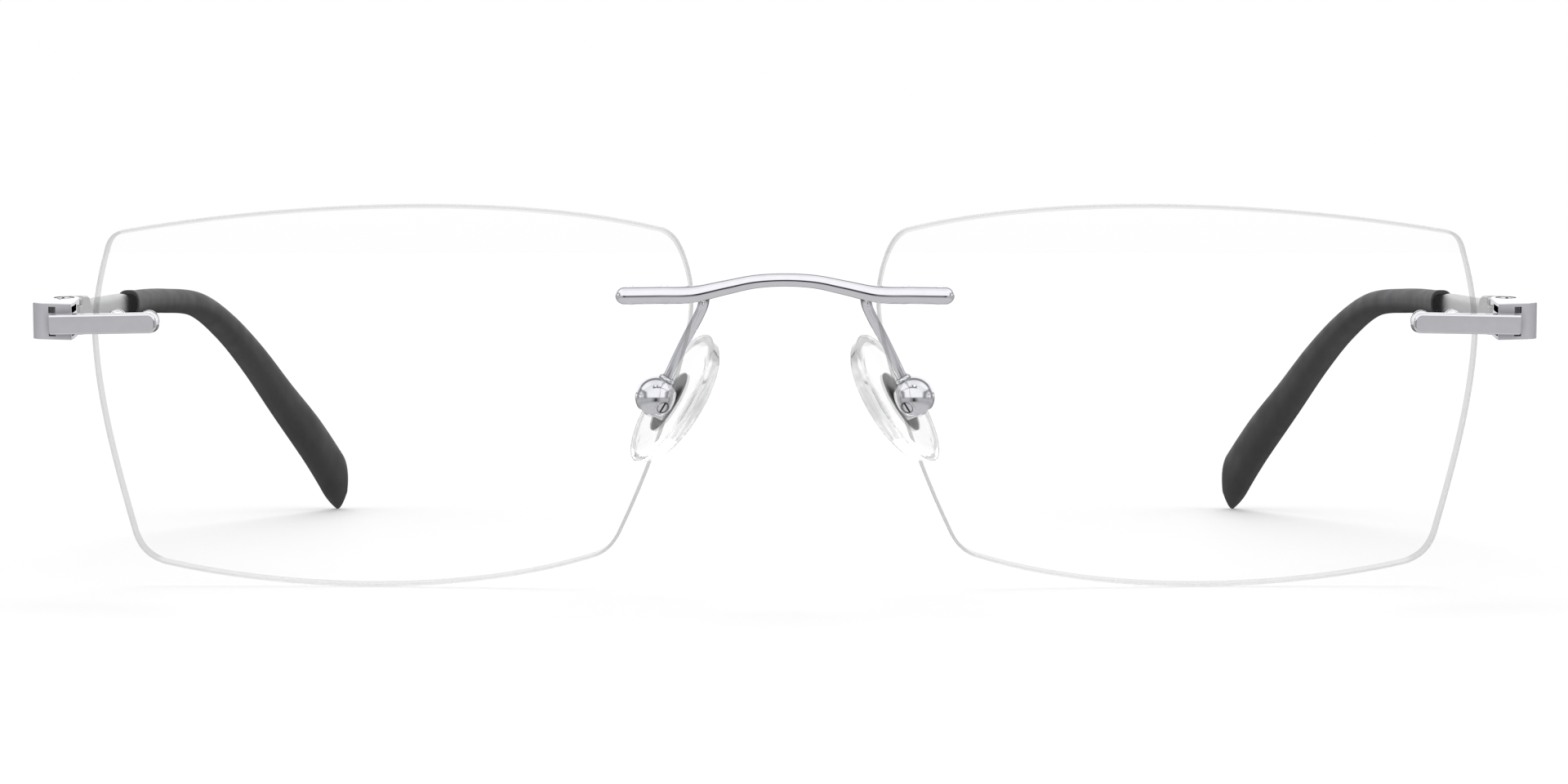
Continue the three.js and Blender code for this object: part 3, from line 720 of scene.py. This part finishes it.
def lens():
    """A meniscus ground to the outline, with a small bevel at each edge and four drilled holes."""
    outer = lens_outline()
    inner = inset(outer, RIM_BEVEL)
    shares = np.linspace(0.03, 1, 14)
    back = LENS_RADIUS - LENS_THICK

    def rear(flat):
        return LENS_THICK + sag(flat[:, 0], flat[:, 1], back)

    def ring(flat, depth):
        return np.column_stack([flat[:, 0], depth, flat[:, 1]])

    rings = [ring(inner * s, sag(*(inner * s).T)) for s in shares]
    first, last = sag(*outer.T) + RIM_BEVEL, rear(outer) - RIM_BEVEL
    rings += [ring(outer, first + (last - first) * k) for k in (0, 0.5, 1)]
    rings += [ring(inner * s, rear(inner * s)) for s in shares[::-1]]
    points, faces = loft(rings)
    made = make(points, faces, LENS_FRAME)
    n, front = len(outer), len(shares) - 1
    is_rim = np.zeros(len(faces), int)
    is_rim[front * n : (front + 4) * n] = 1
    coat(made, is_rim)
    through = (-2, LENS_THICK + 2)
    holes = [rod(HOLE_RADIUS, *through, seat, x) for seat in (BRIDGE_FRAME, END_FRAME) for x in STUDS]
    for hole in holes:
        coat(hole, [1] * len(hole.data.polygons))
    cut(made, holes)
    finish_piece(made, "lens", "front", "lens", LENS_FACE, LENS_RIM, sharp=25)


def coat(made, is_rim):
    """Gives each face the lens face's look or, where is_rim is 1, the rim's."""
    made.data.materials.append(LENS_FACE)
    made.data.materials.append(LENS_RIM)
    made.data.polygons.foreach_set("material_index", is_rim)


# ---------------------------------------------------------------- lens fastening
def bushing(node, seat, radius):
    """A twin clear sleeve, its domed heads joined by a web, pressed on two studs from behind."""
    rear = LENS_THICK + BUSHING_STANDOFF
    web = block((STUD_PITCH, BUTTON_THICK - 0.1, WEB_HEIGHT), (0, rear + BUTTON_THICK / 2 - 0.05, 0), seat)
    made = soften(web, 0.1)
    parts = []
    for x in STUDS:
        stand = seat @ shift(x, rear, 0) @ turn(-math.pi / 2, "X")
        dome = [(POLE, 0), (radius - 0.06, 0), (radius, 0.06)]
        top = [(radius * math.cos(a), 0.28 + 0.32 * math.sin(a)) for a in np.linspace(0, 1.45, 8)]
        parts.append(turned(dome + top + [(POLE, BUTTON_THICK)], stand))
        parts.append(rod(SLEEVE_RADIUS, 0.12, rear + 0.2, seat, x))
    combine(made, parts)
    cut(made, [rod(SLEEVE_BORE, -1, rear + 0.3, seat, x) for x in STUDS])
    finish_piece(made, node, "front", "clear_plastic", CLEAR)


def studs(seat):
    return [rod(STUD_RADIUS, -0.5, LENS_THICK + 0.25, seat, x) for x in STUDS]


# ---------------------------------------------------------------- bridge
def bridge():
    seat = TILT_FRAME.inverted() @ BRIDGE_FRAME
    seat_x, seat_y = seat.translation.x, seat.translation.y
    slope = math.tan(WRAP + math.asin(BRIDGE_SEAT[0] / LENS_RADIUS))
    w = BRIDGE_SEAT[1] + BRIDGE_OVER

    def line_y(x):
        return seat_y - BRIDGE_END_RADIUS - GAP + (x - seat_x) * slope

    half = [
        (15.75, line_y(15.75), w),
        (12, line_y(12), w),
        (8.6, line_y(8.6), w + 0.03),
        (5.6, 0.42, w + 0.67),
        (2.8, 0.3, w + 1.25),
    ]
    line = Line([*half, (0, 0.25, w + BRIDGE_RISE), *[(-x, y, z) for x, y, z in half[::-1]]])
    cap = BRIDGE_END_RADIUS / line.length
    ends = [cap * (1 - math.cos(a)) for a in np.linspace(0.12, math.pi / 2, 10)]
    shares = [*ends, *np.linspace(cap, 1 - cap, 160)[1:-1], *[1 - t for t in ends[::-1]]]
    rings = []
    for t in shares:
        reach = min(1.0, abs(line.at(t)[0]) / 9)
        waist = BRIDGE_MID_RADIUS + (BRIDGE_END_RADIUS - BRIDGE_MID_RADIUS) * reach**2
        near = min(1.0, min(t, 1 - t) / cap)
        r = waist * math.sqrt(1 - (1 - near) ** 2)
        rings.append(moved(line.ring(t, r, r, r, 48), TILT_FRAME))
    made = make(*loft(rings))
    mirror = Matrix.Diagonal((-1, 1, 1, 1))
    both = studs(BRIDGE_FRAME) + studs(BRIDGE_FRAME)
    for stud in both[2:]:
        stud.data.transform(mirror)
        stud.data.flip_normals()
    combine(made, both)
    finish_piece(made, "bridge", "front", "polished_metal", POLISHED)


# ---------------------------------------------------------------- end piece and hinge
def upright(x, y, z):
    return shift(x, y, z) @ turn(math.pi / 2, "X")


def end_piece():
    h, r = BAR_HEIGHT / 2, BAR_CORNER
    outline = [(BAR_OUTER, -h), (BAR_OUTER, h)]
    outline += arc(BAR_INNER + r, h - r, r, 90, 180) + arc(BAR_INNER + r, -h + r, r, 180, 270)
    lay = turn(math.pi / 2, "X")
    made = prism(outline, GAP, GAP + BAR_THICK, END_FRAME @ lay @ turn(-BAR_DROOP, "Z"))
    soften(made, BAR_BEVEL, 4)
    combine(made, [hinge_block(), *studs(END_FRAME)])
    finish_piece(made, "endpiece", "front", "polished_metal", POLISHED, cone=40)


def hinge_block():
    """The forked block: a wall outside the temple, two lugs with a slot between them, and their bore."""
    x, y, z = HINGE
    lean = shift(0, y, z) @ turn(TILT, "X") @ shift(0, -y, 0)
    wall = [(x - 1.35, y - 4.9), (x + 1.4, y - 4.35), (x + 2.05, y - 4.1), (x + 2.42, y - 3.6)]
    wall += [(x + 2.5, y - 2.9), (x + 2.5, y + 0.4), (x + 2.4, y + 1.1), (x + 2.0, y + 1.5)]
    lug_meets = 0.81
    wall += [(x + 1.2, y + 1.5), (x + 1.2, y + lug_meets)]
    wall += arc(x, y, LUG_RADIUS, math.degrees(math.asin(lug_meets / LUG_RADIUS)), 180, 20)[1:]
    wall += [(x - LUG_RADIUS, y - 3.6)]
    body = prism(wall, -BLOCK_HEIGHT / 2, BLOCK_HEIGHT / 2, lean)
    soften(body, 0.2, 3)
    clear = LUG_RADIUS + 0.12
    half = SLOT_HEIGHT / 2
    cuts = [
        rod(clear, -half, half, upright(x, y, z)),
        block((3, 2 * clear, SLOT_HEIGHT), (x - 1.5, y, z)),
        block((2 * clear - 0.9, 3, SLOT_HEIGHT), (x - 0.5, y + 1.5, z)),
    ]
    window, window_at = (2.35, 2.6, 0.62), 1.09
    for side in (1, -1):
        cuts.append(block(window, (x - 0.35, y - 3.3, side * window_at), lean))
    bore = [(POLE, -4), (HINGE_BORE, -4), (HINGE_BORE, 1.12), (HEAD_BORE, 1.4), (HEAD_BORE, 4), (POLE, 4)]
    cuts.append(turned(bore, shift(x, y, z)))
    cut(body, cuts)
    return soften(body, 0.05, 2, 40)


def hinge_screw():
    """A countersunk screw with a slightly domed, slotted head."""
    r, head = SCREW_RADIUS, SCREW_HEAD_RADIUS
    profile = [(POLE, -1.55), (r - 0.12, -1.55), (r, -1.43), (r, 1.16), (head, 1.47), (head, 1.6)]
    profile += [(head - 0.1, 1.69), (0.5, 1.73), (POLE, 1.74)]
    made = turned(profile, shift(*HINGE))
    cut(made, [block((0.28, 3, 0.5), (HINGE[0], HINGE[1], HINGE[2] + 1.8))])
    finish_piece(made, "hinge_screw", "front", "polished_metal", POLISHED)


TEMPLE = Line(TEMPLE_LINE)


def hinge_leaf():
    """The middle barrel, and the plate that holds it to the inside of the arm."""
    x, y, z = HINGE
    made = rod(LUG_RADIUS, -KNUCKLE_HEIGHT / 2, KNUCKLE_HEIGHT / 2, upright(x, y, z))
    outer = TEMPLE.at(0)[0] - x - ARM_THICK / 2 - GAP
    inner, half = -1.5, LEAF_HEIGHT / 2
    depth = ARM_FRONT + 0.4
    neck = block((outer - inner, depth, KNUCKLE_HEIGHT), (x + (outer + inner) / 2, y + depth / 2, z))
    y0, y1 = y + ARM_FRONT, y + ARM_FRONT + LEAF_LENGTH
    side = arc(y0 + 0.4, -half + 0.4, 0.4, 180, 270, 5)
    side += [(y1 - 2.4, -half), (y1 - 1.1, -half + 0.2), (y1 - 0.3, -half + 0.65)]
    side += [(y1 + 0.1, -0.7), (y1 + 0.15, 0)]
    plate = side + [(a, -b) for a, b in side[::-1][1:]]
    stand = basis(Vector((0, 1, 0)), Vector((0, 0, 1)), Vector((1, 0, 0)), Vector((x, 0, z)))
    body = prism(plate, inner, outer, stand)
    soften(body, 0.15, 3)
    combine(made, [soften(neck, 0.1, 2), body])
    along = TEMPLE.at(0.03) - TEMPLE.at(0.01)
    trim = shift(x + outer, y0, z) @ turn(math.atan2(-along[0], along[1]), "Z")
    cut(made, [block((2, 20, 8), (1, 6, 0), trim), rod(HINGE_BORE, -3, 3, upright(x, y, z))])
    finish_piece(made, "hinge_leaf", "temple", "satin_metal", SATIN, cone=40)


# ---------------------------------------------------------------- temple
def arm_size(t, extra=0.0):
    """Half the width and the reach up and down of the arm at t, which thins to a core inside the sleeve."""
    lower = ease(t, SLEEVE_START - 0.03, SLEEVE_START + 0.03)
    thinner = ease(t, SLEEVE_START - 0.05, SLEEVE_START - 0.005)
    h = (ARM_HEIGHT + (CORE_HEIGHT - ARM_HEIGHT) * lower) / 2 + extra
    w = (ARM_THICK + (CORE_THICK - ARM_THICK) * thinner) / 2 + extra
    return w, h, h


def temple_arm():
    rounded_front = [(0.0, 0.82), (0.0008, 0.93), (0.002, 1.0)]
    rings = []
    for t, share in rounded_front:
        w, h, b = arm_size(t)
        less = ARM_THICK / 2 * (1 - share)
        rings.append(TEMPLE.ring(t, w * share, h - less, b - less, 56, ARM_SQUARE))
    for t in np.linspace(0.006, CORE_END, 220):
        rings.append(TEMPLE.ring(t, *arm_size(t), 56, ARM_SQUARE))
    finish_piece(make(*loft(rings)), "temple_arm", "temple", "satin_metal", SATIN)


def sleeve_size(t):
    """Half the width, the reach up and down, and the sideways shift of the sleeve at t."""
    grow = ease(t, DROP_START, 1)
    (half, tip_half), (width, tip_width) = SLEEVE_HALF_HEIGHT, SLEEVE_HALF_WIDTH
    half += (tip_half - half) * grow
    width += (tip_width - width) * grow
    aside = SLEEVE_ASIDE * (1 - ease(t, SLEEVE_START, SLEEVE_START + 0.08))
    end = max(0.0, (t - TIP_ROUNDING) / (1 - TIP_ROUNDING))
    flare = SLEEVE_FLARE * (1 - ease(t, SLEEVE_START, SLEEVE_START + 0.05))
    thin = math.sqrt(max(0.0, 1 - (end * 0.9) ** 2))
    fill = BEND_FILL * ease(t, 0.58, 0.68) * (1 - ease(t, 0.74, 0.86))
    top, bottom = half * (1 - 1.2 * end**2), half * (1 - 0.15 * end**2) + fill
    return width * thin + flare + aside, top + flare, bottom + flare, aside


def mouth_size(t):
    """The bore, which opens into a wider oval mouth round the arm."""
    w, h, _ = arm_size(t, CORE_ROOM)
    wide = 1 - ease(t, SLEEVE_START, SLEEVE_START + MOUTH_DEPTH)
    w = max(w, w + (MOUTH_HALF_WIDTH - w) * wide)
    h = max(h, h + (MOUTH_HALF_HEIGHT - h) * wide)
    return w, h, h, MOUTH_ASIDE * wide


def sleeve_ring(t, size, less=0.0, sides=72):
    half, top, bottom, aside = size(t)
    return TEMPLE.ring(t, half - less, top - less, bottom - less, sides, SLEEVE_SQUARE, aside)


def temple_tip():
    """The black sleeve: a rounded lip, a long body, a rounded tip, and the bore cut out of them."""
    lip = 0.003
    lip_rounding = 0.2
    rings = []
    for a in np.linspace(0.1, math.pi / 2, 10):
        less = lip_rounding * (1 - math.sin(a))
        rings.append(sleeve_ring(SLEEVE_START + lip * (1 - math.cos(a)), sleeve_size, less))
    for t in np.linspace(SLEEVE_START + lip, TIP_ROUNDING, 150)[1:]:
        rings.append(sleeve_ring(t, sleeve_size))
    for a in np.linspace(0, math.pi / 2, 16)[1:]:
        rings.append(sleeve_ring(TIP_ROUNDING + (1 - TIP_ROUNDING) * math.sin(a), sleeve_size))
    made = make(*loft(rings))
    shares = [*np.linspace(SLEEVE_START - 0.01, SLEEVE_START + 0.05, 40)]
    shares += [*np.linspace(SLEEVE_START + 0.06, CORE_END + 0.004, 60)]
    cut(made, [make(*loft([sleeve_ring(t, mouth_size, sides=48) for t in shares]))])
    finish_piece(made, "temple_tip", "temple", "tip", BLACK)


# ---------------------------------------------------------------- nose pad
def pad_wire_line():
    """From the back of the bridge, back and down into the socket on the ball."""
    into = Vector(PAD_PIVOT) + PAD_LONG * (BALL_TOP - 0.02)
    return Line(
        [
            (7.55, 0.28, 27.6),
            (7.55, 1.7, 27.3),
            (7.7, 3.0, 26.5),
            (8.25, 4.0, 25.3),
            (8.95, 5.1, 24.0),
            (9.75, 6.1, 22.4),
            (10.45, 6.8, 20.95),
            tuple(into),
        ]
    )


def pad_arm():
    line = pad_wire_line()
    r = PAD_WIRE_RADIUS
    rings = [line.ring(t, r, r, r, 36) for t in np.linspace(0, 1, 110)]
    finish_piece(make(*loft(rings)), "pad_arm", "front", "polished_metal", POLISHED)


def pad_box():
    """A ball on the pad arm with a ring collar on top, and a fork towards the pad for the pad's lug."""
    angles = np.linspace(-math.pi / 2 + 0.02, math.pi / 2 - 0.02, 48)
    ball = [(BALL_RADIUS * math.cos(a), BALL_RAISE + BALL_RADIUS * math.sin(a)) for a in angles]
    made = turned(ball, PAD_FRAME, 72)
    cut(made, [block((4, 6, 6), (BALL_FACE + 2, 0, 0), PAD_FRAME)])
    fork_size = (FORK_FACE - FORK_FROM, FORK_WIDTH, FORK_LENGTH)
    fork = soften(block(fork_size, ((FORK_FACE + FORK_FROM) / 2, 0, 0), PAD_FRAME), 0.22, 4)
    ring = [(POLE, BALL_TOP - 0.5), (0.6, BALL_TOP - 0.5)]
    for a in np.linspace(-1.5, 1.5, 14):
        ring.append((0.62 + 0.22 * math.cos(a), BALL_TOP - 0.02 + 0.24 * math.sin(a)))
    ring.append((POLE, BALL_TOP + 0.22))
    combine(made, [fork, turned(ring, PAD_FRAME, 64)])
    slot = (6, SLOT_WIDTH, SLOT_HIGH - SLOT_LOW)
    cuts = [
        block(slot, (SLOT_FLOOR + 3, 0, (SLOT_HIGH + SLOT_LOW) / 2), PAD_FRAME),
        rod(PAD_SCREW_RADIUS + 0.07, -3, 3, PAD_FRAME),
        rod(PAD_SCREW_HEAD + 0.06, 1.35, 3, PAD_FRAME),
    ]
    room = PAD_WIRE_RADIUS + 0.06
    socket = [(POLE, BALL_TOP - 0.1), (room, BALL_TOP - 0.1), (room, BALL_TOP + 1), (POLE, BALL_TOP + 1)]
    cuts.append(turned(socket, PAD_FRAME))
    cut(made, cuts)
    soften(made, 0.05, 3, 40)
    finish_piece(made, "pad_box", "front", "polished_metal", POLISHED, cone=40)


def pad_screw():
    """A plain screw with a slotted flat head, through the fork and the lug."""
    made = rod(PAD_SCREW_RADIUS, -1.75, 1.5, PAD_FRAME)
    combine(made, [rod(PAD_SCREW_HEAD, 1.4, 1.85, PAD_FRAME)])
    cut(made, [block((0.2, 0.3, 3), (0, 1.85, 0), PAD_FRAME)])
    finish_piece(made, "pad_screw", "front", "polished_metal", POLISHED)


def pad_core():
    """An oval plate moulded into the pad, with the lug that swings in the fork."""
    lie = PAD_FRAME @ shift(PLATE_REACH, PLATE_SIDE, PLATE_RAISE) @ turn(math.pi / 2, "Y")
    angles = np.linspace(0, 2 * math.pi, 72, endpoint=False)
    oval = [(PLATE_LENGTH / 2 * math.cos(a), PLATE_WIDTH / 2 * math.sin(a)) for a in angles]
    made = soften(prism(oval, -PLATE_THICK / 2, PLATE_THICK / 2, lie), 0.1, 3)
    lug_size = (PLATE_REACH + LUG_TAIL, LUG_WIDTH, LUG_LENGTH)
    lug = block(lug_size, ((PLATE_REACH - LUG_TAIL) / 2, 0, 0), PAD_FRAME)
    combine(made, [soften(lug, 0.1, 2)])
    cut(made, [rod(LUG_BORE, -2, 2, PAD_FRAME)])
    finish_piece(made, "pad_core", "pad", "satin_metal", CORE)


def nose_pad():
    """A soft oval pad moulded round its metal core: a thin flat back, a rounded rim and a full front."""
    angle = np.linspace(0, 2 * math.pi, 120, endpoint=False)
    edge = np.column_stack([np.cos(angle) * PAD_WIDTH / 2, np.sin(angle) * PAD_LENGTH / 2])
    profile = [(k, -PAD_BACK * (1 - k**3) ** 0.5) for k in np.sin(np.linspace(0.03, 1.35, 24))]
    profile += [(0.985, -0.16), (0.998, -0.08), (1.0, 0.0), (0.998, 0.08), (0.985, 0.15), (0.965, 0.2)]
    top = [(k, PAD_FRONT * (1 - k**3) ** 0.5) for k in np.sin(np.linspace(1.2, 0.03, 40))]
    profile += [(k, max(x, 0.22)) for k, x in top if k < 0.94]
    rings = [np.column_stack([np.full(len(angle), x), edge * k]) for k, x in profile]
    made = make(*loft(rings), PAD_FRAME @ shift(PAD_REACH, PAD_SIDE, PAD_RAISE))
    finish_piece(made, "nose_pad", "pad", "silicone", SILICONE)


# ---------------------------------------------------------------- stage
# What polished parts see. A direction's x, y and z say where each patch lies.
GLOSS_GREYS = [
    (-1, 0.56),
    (-0.6, 0.56),
    (-0.38, 0.4),
    (-0.21, 0.5),
    (-0.11, 0.4),
    (-0.04, 0.7),
    (0.05, 1.0),
    (0.85, 1.0),
    (1, 0.85),
]
GLOSS_LIGHT = 1.1
DARK_LINE = 0.06  # share of the light left in a dark band just below the horizon, in front and behind
DARK_LINE_REACH = (0.05, 0.45)  # |x| where it starts to fade, and where it ends
DARK_LINE_HEIGHT = (-0.48, -0.38, -0.12, -0.02)
CEILING_GAP = 0.25  # share left in the gap behind the overhead light
CEILING_GAP_REACH = (0.22, 0.34, 0.56, 0.7)
CEILING_GAP_HEIGHT = (0.3, 0.5)
BACK_TABLE = 0.55  # share left on the table behind the glasses
BACK_TABLE_REACH = (0.6, 0.85)
BACK_TABLE_HEIGHT = (-0.06, 0)
DARK_CARD = 0.3  # share left on dark cards at both sides, which draw the edges of polished parts
CARD_REACH = (0.7, 0.84, 0.92, 0.99)
CARD_HEIGHT = (-0.12, -0.04, 0.4, 0.5)
SEEN_THROUGH = 0.45  # how much of the pattern clear pieces see
DIFFUSE_LIGHT = 0.72  # what the surroundings give to the floor; the low sun behind gives the rest
SUN_AIM = (0, -0.87, -0.5)
SUN_ANGLE = 40
SUN_STRENGTH = 2.5

CAMERA_FAR = 0.45  # metres in front of the lenses
CAMERA_HEIGHT = 0.0337
CAMERA_DOWN = 1.94  # degrees
CAMERA_LENS = 110.9


def band(tree, value, low, rise, fall, high):
    """1 between rise and fall, and 0 outside low and high."""
    return product(tree, mapped(tree, value, low, rise, 0, 1), mapped(tree, value, fall, high, 1, 0))


def world():
    """White for the camera. Polished parts see a studio with a dimmer table, cards and a dark line."""
    made = bpy.data.worlds.new("studio")
    bpy.context.scene.world = made
    made.use_nodes = True
    tree = made.node_tree
    back = tree.nodes["Background"]
    where = tree.nodes.new("ShaderNodeTexCoord")
    way = xyz(tree, where.outputs["Generated"])
    seen = tree.nodes.new("ShaderNodeVectorMath")
    seen.operation = "SCALE"
    grey_ramp(tree, mapped(tree, way["Z"], -1, 1, 0, 1), GLOSS_GREYS, seen.inputs[0], (1, 1, 1.02))
    aside = tree.nodes.new("ShaderNodeMath")
    aside.operation = "ABSOLUTE"
    tree.links.new(way["X"], aside.inputs[0])
    across = mapped(tree, aside.outputs[0], *DARK_LINE_REACH, 1, 0)
    dark_line = product(tree, across, band(tree, way["Z"], *DARK_LINE_HEIGHT))
    card = product(tree, band(tree, aside.outputs[0], *CARD_REACH), band(tree, way["Z"], *CARD_HEIGHT))
    above = mapped(tree, way["Z"], *CEILING_GAP_HEIGHT, 0, 1)
    gap = product(tree, band(tree, way["Y"], *CEILING_GAP_REACH), above)
    below = mapped(tree, way["Z"], *BACK_TABLE_HEIGHT, 1, 0)
    table = product(tree, mapped(tree, way["Y"], *BACK_TABLE_REACH, 0, 1), below)
    dim = mapped(tree, dark_line, 0, 1, GLOSS_LIGHT, GLOSS_LIGHT * DARK_LINE)
    for place, share in ((card, DARK_CARD), (gap, CEILING_GAP), (table, BACK_TABLE)):
        dim = product(tree, dim, mapped(tree, place, 0, 1, 1, share))
    tree.links.new(dim, seen.inputs["Scale"])
    path = tree.nodes.new("ShaderNodeLightPath")
    mix = tree.nodes.new("ShaderNodeMixRGB")
    tree.links.new(mapped(tree, path.outputs["Is Diffuse Ray"], 0, 1, 1, DIFFUSE_LIGHT), mix.inputs[1])
    through = mapped(tree, path.outputs["Is Transmission Ray"], 0, 1, 1, SEEN_THROUGH)
    tree.links.new(product(tree, path.outputs["Is Glossy Ray"], through), mix.inputs["Fac"])
    tree.links.new(seen.outputs[0], mix.inputs[2])
    tree.links.new(mix.outputs["Color"], back.inputs["Color"])


def floor():
    """A plain pale table, which polished parts don't mirror."""
    bpy.ops.mesh.primitive_plane_add(size=12, location=(0, 0, 0))
    plane = bpy.context.object
    plane.name = "floor"
    made, _, shader = material("floor", Roughness=0.9)
    shader.inputs["Base Color"].default_value = (0.93, 0.93, 0.93, 1)
    shader.inputs["Specular IOR Level"].default_value = 0.0
    plane.data.materials.append(made)
    plane.visible_glossy = False


def sun():
    """A wide soft light from above and behind, which lays the shadows towards the camera."""
    data = bpy.data.lights.new("behind", "SUN")
    data.angle = math.radians(SUN_ANGLE)
    data.energy = SUN_STRENGTH
    made = bpy.data.objects.new("behind", data)
    made.rotation_euler = Vector(SUN_AIM).to_track_quat("-Z", "Y").to_euler()
    made.visible_glossy = False
    bpy.context.scene.collection.objects.link(made)


def camera():
    """A long lens a little above the table, looking slightly down at the front."""
    data = bpy.data.cameras.new("camera")
    data.sensor_width = 36
    data.lens = CAMERA_LENS
    data.shift_x = -0.0006
    made = bpy.data.objects.new("camera", data)
    made.location = (0, SHIFT_Y * MM - CAMERA_FAR, CAMERA_HEIGHT)
    made.rotation_euler = (math.radians(90 - CAMERA_DOWN), 0, 0)
    bpy.context.scene.collection.objects.link(made)
    bpy.context.scene.camera = made


bpy.context.scene.view_settings.view_transform = "Standard"
camera()
world()
floor()
sun()

lens()
bushing("bridge_bushing", BRIDGE_FRAME, BRIDGE_BUTTON)
bushing("endpiece_bushing", END_FRAME, END_BUTTON)
bridge()
end_piece()
hinge_screw()
hinge_leaf()
temple_arm()
temple_tip()
pad_arm()
pad_box()
pad_screw()
pad_core()
nose_pad()
